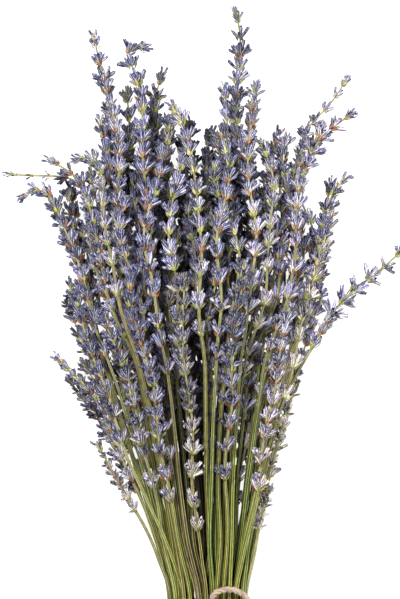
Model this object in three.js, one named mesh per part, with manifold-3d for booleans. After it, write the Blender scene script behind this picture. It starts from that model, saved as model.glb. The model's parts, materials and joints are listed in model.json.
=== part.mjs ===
// A bunch of dried lavender, tied with twine and laid on its side, in millimetres with +Z up.
// The bunch lies along Y, its cut stem ends at -Y and its flower spikes at +Y. The origin is on the
// surface it lies on, under the middle of the twine.
import * as THREE from "three";
import { mergeVertices } from "three/addons/utils/BufferGeometryUtils.js";
import Module from "manifold-3d";

const wasm = await Module();
wasm.setup();

// ---- Driving dimensions ----
const SPRIG_COUNT = 84; // stems in the bunch, each with its own flower spike
const SEED = 20;

const STEM_WIDTH = 2.0; // lavender has a square stem: its width at the cut end
const STEM_TOP_WIDTH = 1.4; // and where the flower spike starts
const SPIKE_RADIUS = 5.4; // from the stem's middle to the tips of the calyces
const CORE_RADIUS = 1.6; // where neighbouring calyces meet, close round the stem
const CALYX_RISE = 8; // how far a calyx's tip stands above its foot, along the stem
const OPEN_PITCH = 12.5; // rings further apart than this have bare stem between them
const CALYX_BAND = 6.5; // and this is how much of the stem the calyces' feet take up there
const WHORL_PITCH = 13.6; // from one ring of calyces to the next, on average
const SHOWN_PITCH = 12; // and on the sprigs that show most
const CALYCES = 4; // in each ring, larger than life
const GAP = 0.35; // the least clearance between neighbouring sprigs

const TWINE_RADIUS = 1.45;
const TWINE_FLAT = 0.3; // how deep the flat is where the twine lies on the surface
const TIE_HALF_WIDTH = 19.8; // the stems inside the twine fill an ellipse
const TIE_HALF_HEIGHT = 13;
const TIE_GAP = 0.3; // between the outermost stems and the twine
const TIE_HEIGHT = TIE_HALF_HEIGHT + TIE_GAP + 2 * TWINE_RADIUS - TWINE_FLAT;

// The bunch's outline at stations along Y: its middle, half its width and half its height.
const STATIONS = [
  { y: -118, middle: 0, halfWidth: 27, halfHeight: 17 },
  { y: -9, middle: 0, halfWidth: 19.8, halfHeight: 13 },
  { y: 9, middle: 0, halfWidth: 19.8, halfHeight: 13 },
  { y: 34, middle: -1.5, halfWidth: 25.5, halfHeight: 18 },
  { y: 62, middle: -4, halfWidth: 30, halfHeight: 26 },
  { y: 90, middle: -6, halfWidth: 36, halfHeight: 34 },
  { y: 118, middle: -7, halfWidth: 46, halfHeight: 40 },
  { y: 146, middle: -6, halfWidth: 55, halfHeight: 43 },
  { y: 174, middle: -6, halfWidth: 60, halfHeight: 44 },
  { y: 202, middle: -6, halfWidth: 58, halfHeight: 44 },
  { y: 230, middle: -6, halfWidth: 55, halfHeight: 42 },
  { y: 258, middle: -7, halfWidth: 50, halfHeight: 38 },
  { y: 286, middle: -8, halfWidth: 46, halfHeight: 36 },
];
const FIRST_FREE = 3; // stations before this one are held by the twine

// The sprigs that make the outline and the top face, seen from above. The path is the x and y of
// points that the sprig runs through, its last one the tip. The lie is how high it is in the bunch,
// from -1 for the underside to 1 for the top face. The spike is the length that carries flowers. A
// free end goes on from the path's last point, by steps from that point.
const SHOWN_SPRIGS = [
  // standing out at the top, from left to right
  { path: [[-38, 198], [-43, 226], [-47, 250]], lie: 0.3, spike: 104, end: [[-4, 14, 1], [-7, 22, 1]] },
  { path: [[-34, 198], [-38, 228], [-40, 248]], lie: -0.5, spike: 88 },
  {
    path: [[-28, 198], [-30, 228], [-33, 248]],
    lie: 0.55, spike: 96, end: [[-4, 12, 1], [-4, 18, 1], [7, 16, 1]],
  },
  { path: [[-21, 198], [-25, 230], [-27, 242]], lie: -0.05, spike: 84, end: [[4.5, 12, 0]] },
  { path: [[-2, 184], [-5, 208], [-8.5, 219], [-12, 229]], lie: 0.85, spike: 88, end: [[-6, 8, 1]] },
  { path: [[2, 198], [0, 226]], lie: 0.3, spike: 84 },
  { path: [[7, 198], [8, 230], [8, 250]], lie: -0.55, spike: 92 },
  { path: [[13, 198], [14, 230], [14, 262]], lie: 0.1, spike: 108, end: [[0, 12, 0], [-2, 22, 0]] },
  { path: [[19, 198], [21, 225], [20, 242]], lie: 0.6, spike: 90 },
  { path: [[31, 190], [35, 210], [38, 225]], lie: -0.1, spike: 80 },
  {
    path: [[36, 186], [40, 208], [45, 226]],
    lie: -0.6, spike: 50, size: 0.7, end: [[11, 11, 2], [16, 17, 3], [20, 27, 3]],
  },
  {
    path: [[34, 184], [39, 198], [43, 208], [46, 216]],
    lie: 0.45, spike: 84, end: [[6, 8, 1], [22, 18, 2]],
  },
  // down the right-hand side
  {
    path: [[46, 146], [51, 166], [53, 178], [55, 190]],
    lie: 0.1, spike: 76, end: [[4, 10, 1], [8, 14, 1]],
  },
  { path: [[38, 124], [46, 150], [51, 174]], lie: 0.5, spike: 76 },
  {
    path: [[29, 90], [40, 120], [55, 141]],
    lie: 0.3, spike: 16, size: 0.85, end: [[12, 11, 2], [19, 17, 2], [27, 24, 3], [33, 31, 3]],
  },
  { path: [[27, 63], [32, 77], [36, 87], [41, 111]], lie: 0.0, spike: 30, size: 0.6 },
  { path: [[20, 28], [24, 42], [26, 52]], lie: 0.1, spike: 14, size: 0.6, end: [[2, 8, 0]] },
  // down the left-hand side
  { path: [[-45, 198], [-49, 216], [-51, 233]], lie: 0.0, spike: 84 },
  {
    path: [[-43, 190], [-47, 206], [-50, 213]],
    lie: 0.55, spike: 64, size: 0.85, end: [[-6, 1, 1], [-12, -1, 1]],
  },
  {
    path: [[-44, 178], [-50, 192], [-55, 202]],
    lie: 0.2, spike: 60, size: 0.85, end: [[-8, 6, 1], [-19, 11, 2]],
  },
  {
    path: [[-42, 172], [-50, 192], [-57, 203]],
    lie: -0.35, spike: 56, size: 0.75, end: [[-7, 3, 1], [-25, 3, 1], [-37, 4, 1]],
  },
  {
    path: [[-55, 150], [-60, 166], [-64, 176], [-69, 190]],
    lie: 0.1, spike: 72, end: [[-3, 8, 0], [-9, 11, 0], [-17, 6, -1]],
  },
  { path: [[-45, 106], [-53, 126], [-60, 138], [-62, 152]], lie: 0.45, spike: 76 },
  {
    path: [[-34, 66], [-41, 82], [-52, 101]],
    lie: 0.25, spike: 44, size: 0.9, end: [[-7, 8, 1], [-13, 15, 1], [-17, 20, 1]],
  },
  {
    path: [[-31, 56], [-41, 76], [-52, 93]],
    lie: -0.3, spike: 42, size: 0.9, end: [[-8, 9, 1], [-14, 18, 1]],
  },
  {
    path: [[-26, 34], [-31, 46], [-40, 61]],
    lie: 0.2, spike: 14, size: 0.65, end: [[-4, 8, 1], [-9, 14, 1], [-12, 20, 1]],
  },
  // on the top face
  { path: [[-7, 44], [-9, 100], [-11, 160]], lie: 1.0, spike: 116 },
  { path: [[6, 56], [10, 110], [14, 166]], lie: 1.0, spike: 108 },
  { path: [[-18, 62], [-27, 110], [-35, 158]], lie: 0.85, spike: 100 },
  { path: [[22, 50], [31, 96], [40, 146]], lie: 0.6, spike: 94 },
  { path: [[-24, 50], [-38, 96], [-49, 142]], lie: 0.45, spike: 88 },
];

// ---- Small helpers ----
// A seeded draw from 0 to 1, the same on every machine.
function drawer(seed) {
  let state = seed >>> 0;
  return () => {
    state = (state + 0x6d2b79f5) >>> 0;
    let t = state;
    t = Math.imul(t ^ (t >>> 15), t | 1);
    t ^= t + Math.imul(t ^ (t >>> 7), t | 61);
    return ((t ^ (t >>> 14)) >>> 0) / 4294967296;
  };
}

const mix = (a, b, t) => a + (b - a) * t;
const clamp = (value, low, high) => Math.min(Math.max(value, low), high);

// The value at y on a line through points [x, y], going on straight beyond both ends.
function across(points, y) {
  let k = 0;
  while (k < points.length - 2 && y > points[k + 1][1]) k++;
  const [a, b] = [points[k], points[k + 1]];
  return mix(a[0], b[0], (y - a[1]) / (b[1] - a[1]));
}

const middleAt = (y) => across(STATIONS.map((s) => [s.middle, s.y]), y);
const halfWidthAt = (y) => across(STATIONS.map((s) => [s.halfWidth, s.y]), y);

// The height of the bunch's middle. The twine holds the stems up at one end; the flower spikes lie
// on the surface at the other.
function heightAt(station) {
  const lift = TIE_HEIGHT - TIE_HALF_HEIGHT;
  return station.halfHeight + lift * clamp(1 - (station.y - 9) / 110, 0, 1);
}

// ---- Which sprigs there are ----
// A sprig's place under the twine is (u, v) in a unit circle. Sunflower seeds fill a circle evenly,
// so the places follow their pattern.
const GOLDEN_ANGLE = Math.PI * (3 - Math.sqrt(5));
function sunflower(count) {
  return Array.from({ length: count }, (_, i) => {
    const r = Math.sqrt((i + 0.5) / count);
    return { u: r * Math.cos(i * GOLDEN_ANGLE), v: r * Math.sin(i * GOLDEN_ANGLE) };
  });
}

function shownSprig(row) {
  const tip = row.path[row.path.length - 1];
  const u1 = (tip[0] - middleAt(tip[1])) / halfWidthAt(tip[1]);
  return {
    shown: true,
    path: row.path,
    u1,
    v1: row.lie,
    tipY: tip[1],
    spike: row.spike,
    size: row.size ?? 1,
    end: row.end ?? [],
  };
}

// A sprig of the bunch's inside or underside, drawn at random round its place.
function filledSprig({ u, v }, draw) {
  const tipY = mix(172, 236, Math.sqrt(draw())) - 10 * (u * u + v * v);
  const spike = mix(72, 92, draw());
  return {
    shown: false,
    u1: u + mix(-0.08, 0.08, draw()),
    v1: v + mix(-0.08, 0.08, draw()),
    tipY,
    spike: Math.min(spike, tipY - 84),
    size: mix(0.92, 1.02, draw()),
    end: [],
  };
}

// Gives each shown sprig the free place nearest to where it ends up, the shortest sprigs first as
// they are on the outside of the bunch, and fills the other places.
function planSprigs() {
  const draw = drawer(SEED);
  const places = sunflower(SPRIG_COUNT);
  const taken = places.map(() => null);
  const shown = SHOWN_SPRIGS.map(shownSprig).sort((a, b) => a.tipY - b.tipY);
  for (const wanted of shown) {
    let best = -1;
    let least = Infinity;
    places.forEach((p, i) => {
      const far = (p.u - clamp(wanted.u1, -1, 1)) ** 2 + (p.v - wanted.v1) ** 2;
      if (!taken[i] && far < least) {
        least = far;
        best = i;
      }
    });
    taken[best] = wanted;
  }
  return places.map((place, i) => {
    const made = taken[i] ?? filledSprig(place, draw);
    return { ...place, ...made, turn: draw() * Math.PI, cutY: STATIONS[0].y + 7 * draw() };
  });
}

// Neighbouring sprigs of the inside share a node in twos, pressed together under the twine. Those
// with the fewest neighbours left choose first, so that few stay alone.
const PAIR_SPACING = 1.3;
const PAIR_REACH = 0.36;
function pairUp(sprigs) {
  const partner = new Map();
  const inside = sprigs.map((_, i) => i).filter((i) => !sprigs[i].shown);
  const apart = (i, j) => Math.hypot(sprigs[i].u - sprigs[j].u, sprigs[i].v - sprigs[j].v);
  const free = (i) => inside.filter((j) => j !== i && !partner.has(j) && apart(i, j) < PAIR_REACH);
  const fewest = (list) => list.reduce((a, b) => (free(b).length < free(a).length ? b : a));
  for (;;) {
    const choosing = inside.filter((i) => !partner.has(i) && free(i).length);
    if (!choosing.length) return partner;
    const first = fewest(choosing);
    const second = fewest(free(first));
    partner.set(first, second);
    partner.set(second, first);
  }
}

// A spike's width along its length: full soon after its foot, and slim towards its tip.
const spikeShape = (t) => clamp(0.8 + 1.2 * t, 0, 1) * clamp((1 - t) * 2.2 + 0.42, 0, 1);

// How far a sprig reaches from its stem's middle at a height y.
function reach(sprig, y) {
  if (y > sprig.tipY + 4) return sprig.end.length && y < sprig.tipY + 12 ? 2 : 0;
  const foot = sprig.tipY - sprig.spike;
  if (y < foot - 1) return STEM_WIDTH * Math.SQRT1_2;
  return SPIKE_RADIUS * sprig.size * spikeShape((y - foot) / sprig.spike);
}

// ---- Where each sprig goes ----
// The line a sprig would follow if it had the bunch to itself.
function plannedLine(sprig) {
  const tiedX = sprig.u * (TIE_HALF_WIDTH - STEM_WIDTH * 0.75);
  return STATIONS.map((station, k) => {
    const tied = k < FIRST_FREE;
    const along = clamp((station.y - 9) / (sprig.tipY - 9), 0, 1.2);
    const u = tied ? sprig.u : mix(sprig.u, sprig.u1, along);
    const v = tied ? sprig.v : mix(sprig.v, sprig.v1, clamp(along * 1.6, 0, 1));
    const inset = tied ? STEM_WIDTH * 0.75 : mix(1.5, SPIKE_RADIUS, clamp(along * 2, 0, 1));
    const z = heightAt(station) + v * (station.halfHeight - inset);
    if (sprig.shown && !tied) return [across([[tiedX, 9], ...sprig.path], station.y), z];
    return [station.middle + u * (station.halfWidth - inset), z];
  });
}

// Neighbours push each other apart until none touch, while the stems stay smooth and above the
// surface. Heights between two stations are checked too, as the stems run straight between them.
const PASSES = 420;
const SETTLING = 340; // the passes after this only push apart
const STIFFNESS = 0.18;
const STRAIGHTEN = 0.4; // the same, where the twine holds the stems
const RETURN = 0.02; // how strongly a sprig keeps to its planned line
const RETURN_SHOWN = 0.35;
const PUSH = 0.42;
const STEP = 1.5; // the most a point moves in one pass
const PRESSED = 0.9; // how low a spike lies on the surface, as a share of its own radius
const BETWEEN = [0, 1 / 3, 2 / 3];
const GRAIN = 97; // positions are kept to this part of a millimetre

function layOut(sprigs, partner) {
  const planned = sprigs.map(plannedLine);
  const line = planned.map((points) => points.map((p) => [...p]));
  const checks = STATIONS.flatMap(({ y }, k) => {
    const after = STATIONS[k + 1];
    const shares = after ? BETWEEN : [0];
    return shares.map((t) => {
      const height = after ? mix(y, after.y, t) : y;
      return { k, t, reach: sprigs.map((sprig) => reach(sprig, height)) };
    });
  });
  for (let pass = 0; pass < PASSES; pass++) {
    const move = line.map((points) => points.map(() => [0, 0]));
    if (pass < SETTLING) settle(sprigs, line, planned, move);
    for (const check of checks) pushApart(line, check, partner, move);
    line.forEach((points, i) =>
      points.forEach((p, k) => {
        p[0] += clamp(move[i][k][0], -STEP, STEP);
        p[1] += clamp(move[i][k][1], -STEP, STEP);
      }),
    );
    if (pass >= SETTLING) pressUnderTwine(line, partner);
    for (const points of line) {
      for (const p of points) {
        p[0] = Math.round(p[0] * GRAIN) / GRAIN;
        p[1] = Math.round(p[1] * GRAIN) / GRAIN;
      }
    }
  }
  return line;
}

// Draws each point towards its planned place and its neighbours on the same stem. Under the twine
// the stems run parallel, and from there they spread to their cut ends without crossing.
function settle(sprigs, line, planned, move) {
  const [cut, tied] = STATIONS;
  line.forEach((points, i) => {
    const back = sprigs[i].shown ? RETURN_SHOWN : RETURN;
    const [x, z] = points[1];
    const spread = [
      (x * cut.halfWidth) / tied.halfWidth,
      heightAt(cut) + ((z - TIE_HEIGHT) * cut.halfHeight) / tied.halfHeight,
    ];
    for (const axis of [0, 1]) {
      move[i][0][axis] += STRAIGHTEN * (spread[axis] - points[0][axis]);
      move[i][1][axis] += STRAIGHTEN * (points[2][axis] - points[1][axis]);
    }
    for (let k = FIRST_FREE - 1; k < points.length; k++) {
      for (const axis of [0, 1]) {
        move[i][k][axis] += back * (planned[i][k][axis] - points[k][axis]);
        if (k < FIRST_FREE || k === points.length - 1) continue;
        const share = (STATIONS[k].y - STATIONS[k - 1].y) / (STATIONS[k + 1].y - STATIONS[k - 1].y);
        const straight = mix(points[k - 1][axis], points[k + 1][axis], share);
        move[i][k][axis] += STIFFNESS * (straight - points[k][axis]);
      }
    }
  });
}

function pushApart(line, { k, t, reach: reaches }, partner, move) {
  const next = t ? k + 1 : k;
  const underTwine = k > 0 && k < FIRST_FREE && t === 0;
  const place = line.map((points) => [
    mix(points[k][0], points[next][0], t),
    mix(points[k][1], points[next][1], t),
  ]);
  for (let i = 0; i < line.length; i++) {
    const mine = reaches[i];
    if (!mine) continue;
    let dx = 0;
    let dz = 0;
    for (let j = 0; j < line.length; j++) {
      if (i === j || !reaches[j]) continue;
      const x = place[i][0] - place[j][0];
      const z = place[i][1] - place[j][1];
      const far = Math.sqrt(x * x + z * z) + 1e-9;
      const paired = underTwine && partner.get(i) === j;
      const short = paired ? PAIR_SPACING - far : Math.max(mine + reaches[j] + GAP - far, 0);
      dx += (PUSH * short * x) / far;
      dz += (PUSH * short * z) / far;
    }
    if (underTwine) {
      const held = heldByTwine(place[i]);
      dx += held[0] - place[i][0];
      dz += held[1] - place[i][1];
    }
    const lowest = mine > STEM_WIDTH ? mine * PRESSED : mine + 0.1;
    dz += Math.max(lowest - place[i][1] - dz, 0);
    move[i][k][0] += dx * (1 - t);
    move[i][k][1] += dz * (1 - t);
    if (t) {
      move[i][next][0] += dx * t;
      move[i][next][1] += dz * t;
    }
  }
}

// The nearest place inside the ellipse that the twine leaves for a stem's middle. The stems on the
// outside lie against the twine.
const OUTSIDE = 0.88;
function heldByTwine([x, z]) {
  const halfWidth = TIE_HALF_WIDTH - STEM_WIDTH * 0.72;
  const halfHeight = TIE_HALF_HEIGHT - STEM_WIDTH * 0.72;
  const out = Math.sqrt((x / halfWidth) ** 2 + ((z - TIE_HEIGHT) / halfHeight) ** 2);
  const share = out > 1 ? 1 / out : out > OUTSIDE ? Math.min(1 / out, 1.01) : 1;
  return [x * share, TIE_HEIGHT + (z - TIE_HEIGHT) * share];
}

function pressUnderTwine(line, partner) {
  for (let k = 1; k < FIRST_FREE; k++) {
    for (const [i, j] of partner) {
      if (j < i) continue;
      const [a, b] = [line[i][k], line[j][k]];
      const far = Math.hypot(a[0] - b[0], a[1] - b[1]);
      const share = (far - PAIR_SPACING) / far / 2;
      for (const axis of [0, 1]) {
        const step = (b[axis] - a[axis]) * share;
        a[axis] += step;
        b[axis] -= step;
      }
    }
    for (const points of line) points[k] = heldByTwine(points[k]);
  }
}

// ---- One sprig ----
// The points a sprig runs through, from its cut end to its tip and along a free end.
function sprigPath(sprig, line) {
  const at = (y) => new THREE.Vector3(
    across(line.map((p, k) => [p[0], STATIONS[k].y]), y),
    y,
    across(line.map((p, k) => [p[1], STATIONS[k].y]), y),
  );
  const heights = STATIONS.map((s) => s.y).filter((y) => y > sprig.cutY && y < sprig.tipY - 6);
  const points = [sprig.cutY, ...heights, sprig.tipY].map(at);
  const tip = points[points.length - 1];
  for (const [x, y, z] of sprig.end) points.push(tip.clone().add(new THREE.Vector3(x, y, z)));
  return points;
}

// The distance along a path to each of its points.
function lengthsAlong(points) {
  const along = [0];
  for (let i = 1; i < points.length; i++) along.push(along[i - 1] + points[i].distanceTo(points[i - 1]));
  return along;
}

// The place and direction at a distance along a path.
function pointAlong(points, along, distance) {
  let k = 0;
  while (k < points.length - 2 && distance > along[k + 1]) k++;
  const t = (distance - along[k]) / (along[k + 1] - along[k]);
  const place = points[k].clone().lerp(points[k + 1], t);
  const way = points[k + 1].clone().sub(points[k]).normalize();
  return { place, way };
}

// A ring of points square to the stem.
const UP = new THREE.Vector3(0, 0, 1);
function ring({ place, way }, radius, turn) {
  const side = new THREE.Vector3().crossVectors(UP, way).normalize();
  const up = new THREE.Vector3().crossVectors(way, side);
  return Array.from({ length: CALYCES }, (_, i) => {
    const angle = turn + (i * 2 * Math.PI) / CALYCES;
    return place
      .clone()
      .addScaledVector(side, radius * Math.cos(angle))
      .addScaledVector(up, radius * Math.sin(angle));
  });
}

// Where the rings of calyces start, from the spike's foot in mm. They stand closer together
// towards the tip.
function whorlStarts(spike, shown) {
  const count = Math.max(2, Math.round(spike / (shown ? SHOWN_PITCH : WHORL_PITCH)));
  return Array.from({ length: count + 1 }, (_, i) => spike * (i / count) ** 0.82);
}

function sprigGeometry(sprig, line) {
  const points = sprigPath(sprig, line);
  const along = lengthsAlong(points);
  const freeLength = along[along.length - 1] - along[along.length - 1 - sprig.end.length];
  const spike = sprig.spike + freeLength;
  const foot = along[along.length - 1] - spike;
  const positions = [];
  const triangles = [];
  const add = (p) => positions.push(p.x, p.y, Math.max(p.z, 0)) / 3 - 1;
  const addRing = (distance, radius, turn) =>
    ring(pointAlong(points, along, distance), radius, turn).map(add);

  // the stem
  let below = null;
  const band = (upper) => {
    for (let i = 0; i < CALYCES; i++) {
      const n = (i + 1) % CALYCES;
      triangles.push(below[i], below[n], upper[n], below[i], upper[n], upper[i]);
    }
    below = upper;
  };
  const widthAt = (distance) => mix(STEM_WIDTH, STEM_TOP_WIDTH, distance / foot) * Math.SQRT1_2;
  for (const distance of [...along.filter((d) => d < foot - 8), foot]) {
    const upper = addRing(distance, widthAt(distance), sprig.turn);
    if (below) {
      band(upper);
    } else {
      triangles.push(upper[2], upper[1], upper[0], upper[3], upper[2], upper[0]);
      below = upper;
    }
  }

  // the spike: each side between two rings is raised to the point of a calyx
  const starts = whorlStarts(spike, sprig.shown);
  for (let w = 0; w < starts.length - 1; w++) {
    const last = w === starts.length - 2;
    const pitch = starts[w + 1] - starts[w];
    const open = pitch > OPEN_PITCH && w < 3;
    const height = open ? CALYX_BAND : pitch;
    const turn = sprig.turn + ((w + 1) * Math.PI) / CALYCES;
    const shape = spikeShape((starts[w] + 0.4 * pitch) / spike) * sprig.size;
    const core = last ? 0.6 : Math.max(CORE_RADIUS * shape, 0.8);
    const upper = addRing(foot + starts[w] + height, core, turn);
    const rise = last ? 0.7 * pitch : CALYX_RISE;
    const spread = SPIKE_RADIUS * shape * (last ? 0.7 : 1);
    const tipHeight = foot + starts[w] + Math.min(rise, 1.2 * height);
    const tips = addRing(tipHeight, spread, turn + Math.PI / CALYCES / 2);
    for (let i = 0; i < CALYCES; i++) {
      const n = (i + 1) % CALYCES;
      triangles.push(below[i], below[n], tips[i], below[n], upper[n], tips[i]);
      triangles.push(upper[n], upper[i], tips[i], upper[i], below[i], tips[i]);
    }
    below = upper;
    if (open) band(addRing(foot + starts[w + 1], core, turn));
  }
  triangles.push(below[0], below[1], below[2], below[0], below[2], below[3]);

  const geometry = new THREE.BufferGeometry();
  geometry.setAttribute("position", new THREE.Float32BufferAttribute(positions, 3));
  geometry.setIndex(triangles);
  return geometry;
}

// ---- Solids ----
function toSolid(geometry) {
  const bare = geometry.clone();
  bare.deleteAttribute("normal");
  bare.deleteAttribute("uv");
  const merged = mergeVertices(bare, 1e-4);
  return new wasm.Manifold(
    new wasm.Mesh({
      numProp: 3,
      vertProperties: new Float32Array(merged.attributes.position.array),
      triVerts: new Uint32Array(merged.index.array),
    }),
  );
}

function toGeometry(solid) {
  const mesh = solid.getMesh();
  const geometry = new THREE.BufferGeometry();
  geometry.setAttribute("position", new THREE.BufferAttribute(mesh.vertProperties, 3));
  geometry.setIndex(new THREE.BufferAttribute(mesh.triVerts, 1));
  return geometry;
}

// ---- The twine ----
// Each turn is an ellipse round the stems. The knot joins them, and the bow's loops and loose ends
// lie on the top face.
const TWINE_SIDES = 8;
const TURN_SIDES = 6;
const TURN_STEP = 3; // from one turn to the next
const TURN_CORNERS = 16;
const LOOP_STEPS = 11;
const LOOSE_STEPS = 6;
const KNOT = { at: [3, 0, 32.3], size: [3.4, 4.6, 2.8] };
const BOW_TOP = 33.2;
const LOOPS = [
  [
    [3, 0, 0], [1.8, 6, 0.6], [4, 10, 1.2], [9.5, 11.4, 1.4], [15, 10, 1],
    [19, 5.5, -0.4], [17, -0.5, -1], [10, -3, 0], [3.5, -0.5, 0],
  ],
  [
    [2.5, 0, 0], [-4, 4, 0.4], [-11, 5.5, 0.4], [-17, 2.5, -0.8],
    [-17.5, -3, -1.4], [-11, -5.5, -0.6], [-4, -3.5, 0], [2.5, -0.5, 0],
  ],
];
const LOOSE_ENDS = [
  [[3.5, -1, 0], [8, -9, -0.6], [12, -20, -0.4], [10.5, -38, 0.4]],
  [[2.5, -1, 0], [-3, -10, -0.6], [-3.5, -22, -0.2], [-9, -36, 0.4]],
];

// A turn of twine is a tube that closes on itself, from its lowest point round to it again.
function turnOfTwine(y) {
  const wide = TIE_HALF_WIDTH + TIE_GAP + TWINE_RADIUS;
  const high = TIE_HALF_HEIGHT + TIE_GAP + TWINE_RADIUS;
  const corners = Array.from({ length: TURN_CORNERS }, (_, i) => {
    const angle = (i / TURN_CORNERS - 0.25) * 2 * Math.PI;
    return new THREE.Vector3(wide * Math.cos(angle), y, TIE_HEIGHT + high * Math.sin(angle));
  });
  const curve = new THREE.CatmullRomCurve3(corners, true);
  return toSolid(new THREE.TubeGeometry(curve, TURN_CORNERS, TWINE_RADIUS, TURN_SIDES, true));
}

// A length of twine on the top face, through points [x, y, height above the bow's own height].
function lengthOfTwine(points, steps) {
  const section = new THREE.Shape(
    Array.from({ length: TWINE_SIDES }, (_, i) => {
      const angle = (i * 2 * Math.PI) / TWINE_SIDES;
      return new THREE.Vector2(TWINE_RADIUS * Math.cos(angle), TWINE_RADIUS * Math.sin(angle));
    }),
  );
  const curve = new THREE.CatmullRomCurve3(points.map(([x, y, z]) => new THREE.Vector3(x, y, BOW_TOP + z)));
  return toSolid(new THREE.ExtrudeGeometry(section, { steps, extrudePath: curve, bevelEnabled: false }));
}

function twineSolid() {
  const parts = [-TURN_STEP, 0, TURN_STEP].map(turnOfTwine);
  for (const points of LOOPS) parts.push(lengthOfTwine(points, LOOP_STEPS));
  for (const points of LOOSE_ENDS) parts.push(lengthOfTwine(points, LOOSE_STEPS));
  const knot = new THREE.IcosahedronGeometry(1, 1);
  knot.scale(...KNOT.size).translate(...KNOT.at);
  parts.push(toSolid(knot));
  return wasm.Manifold.union(parts).trimByPlane([0, 0, 1], 0);
}

// ---- The bunch ----
// Each mesh sits at its own place, with its shape made round that place.
function addMesh(group, solid, name, colour, place) {
  const material = new THREE.MeshStandardMaterial({ color: colour, roughness: 0.9, metalness: 0 });
  const geometry = toGeometry(solid.translate(-place.x, -place.y, -place.z));
  const mesh = new THREE.Mesh(geometry, material);
  mesh.name = name;
  mesh.position.copy(place);
  group.add(mesh);
}

const bunch = new THREE.Group();
const flowers = new THREE.Group();
bunch.add(flowers);
addMesh(bunch, twineSolid(), "twine", 0xc9a88a, new THREE.Vector3(0, 0, 0));

const sprigs = planSprigs();
const partner = pairUp(sprigs);
const line = layOut(sprigs, partner);
let count = 0;
sprigs.forEach((sprig, i) => {
  const other = partner.get(i);
  if (other < i) return;
  count += 1;
  let solid = toSolid(sprigGeometry(sprig, line[i]));
  if (other !== undefined) solid = solid.add(toSolid(sprigGeometry(sprigs[other], line[other])));
  const name = (other === undefined ? "sprig_" : "sprig_pair_") + String(count).padStart(2, "0");
  const [x, z] = line[i][FIRST_FREE - 1];
  addMesh(flowers, solid, name, 0x7d7a8c, new THREE.Vector3(x, 0, z));
});

export default bunch;
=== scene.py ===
# %% [markdown]
# # A bunch of dried lavender
# A florist's bunch: more than a hundred sprigs, tied with jute twine, lying on a table. Each sprig
# is a square stem with rings of small ribbed flower cups, which botanists call calyces. We make one
# of each small shape, copy it thousands of times along the stems, and give it finishes
# that vary from cup to cup. The lengths below are in millimetres until a piece is built, because
# that is how one measures a flower.

# %% The frame and its box
import json
import math

import bpy
import numpy as np
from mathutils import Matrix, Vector

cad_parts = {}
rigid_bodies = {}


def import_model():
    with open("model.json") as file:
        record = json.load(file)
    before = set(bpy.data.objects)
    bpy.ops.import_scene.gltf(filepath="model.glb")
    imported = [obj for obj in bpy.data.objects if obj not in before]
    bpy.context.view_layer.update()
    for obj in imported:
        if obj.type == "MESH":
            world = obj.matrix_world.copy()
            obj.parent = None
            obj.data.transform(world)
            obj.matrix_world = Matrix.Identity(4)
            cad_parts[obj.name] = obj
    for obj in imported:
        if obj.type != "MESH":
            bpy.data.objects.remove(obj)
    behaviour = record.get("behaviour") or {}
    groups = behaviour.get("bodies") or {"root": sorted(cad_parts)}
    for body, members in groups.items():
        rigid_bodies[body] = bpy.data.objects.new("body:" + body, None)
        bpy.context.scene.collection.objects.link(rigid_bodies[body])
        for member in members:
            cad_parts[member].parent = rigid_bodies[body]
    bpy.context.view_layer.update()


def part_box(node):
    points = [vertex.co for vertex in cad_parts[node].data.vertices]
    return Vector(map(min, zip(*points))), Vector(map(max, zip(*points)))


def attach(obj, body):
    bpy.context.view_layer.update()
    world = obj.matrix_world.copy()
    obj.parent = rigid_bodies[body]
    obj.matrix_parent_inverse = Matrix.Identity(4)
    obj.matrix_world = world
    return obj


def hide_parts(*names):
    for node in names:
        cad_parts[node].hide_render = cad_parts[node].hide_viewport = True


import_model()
MM = 0.001
scene = bpy.context.scene

# %% [markdown]
# ## Camera, table and light
# The bunch lies down, so the camera hangs above it and looks straight down. A long lens from a
# metre and a half keeps the perspective as flat as in a catalogue picture. Such a picture has
# no shadows on its ground, because the bunch lies on a light table: a grey sheet that gives off
# nearly all of its white itself. A dim white room and two soft lamps light the flowers.

# %% The camera
VIEW_LENGTH = 0.2797  # how much of the bunch's length the picture shows, in metres
VIEW_MIDDLE = (-0.0037, 0.1477)
FLOWER_HEIGHT = 0.045  # the height at which the picture has that scale
DISTANCE = 1.5
FILM = 36
camera = bpy.data.objects.new("camera", bpy.data.cameras.new("camera"))
scene.collection.objects.link(camera)
camera.location = (*VIEW_MIDDLE, FLOWER_HEIGHT + DISTANCE)
camera.data.sensor_fit = "VERTICAL"
camera.data.sensor_height = FILM
camera.data.lens = FILM * DISTANCE / VIEW_LENGTH
camera.data.clip_end = 20
scene.camera = camera
scene.view_settings.view_transform = "Standard"


# %% The table and the lamps
def deselect():
    for thing in bpy.data.objects:
        thing.select_set(False)


deselect()
bpy.ops.mesh.primitive_plane_add(size=6, location=(0, 0.1, -0.0002))
table = bpy.context.active_object
table.name = "table"
paint = bpy.data.materials.new("white_table")
paint.use_nodes = True
sheet = paint.node_tree.nodes["Principled BSDF"].inputs
sheet["Base Color"].default_value = (0.2, 0.2, 0.2, 1)
sheet["Roughness"].default_value = 0.9
sheet["Emission Color"].default_value = (1, 1, 1, 1)
sheet["Emission Strength"].default_value = 0.92
table.data.materials.append(paint)

room = bpy.data.worlds.new("room")
room.use_nodes = True
air = room.node_tree.nodes["Background"].inputs
air["Color"].default_value = (1, 1, 1, 1)
air["Strength"].default_value = 0.2
scene.world = room
LIT_PLACE = Vector((0, 0.13, 0.03))


def lamp(name, place, size, watts):
    light = bpy.data.lights.new(name, "AREA")
    light.shape = "DISK"
    light.size = size
    light.energy = watts
    holder = bpy.data.objects.new(name, light)
    scene.collection.objects.link(holder)
    holder.location = place
    holder.rotation_euler = (LIT_PLACE - Vector(place)).to_track_quat("-Z", "Y").to_euler()


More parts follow.
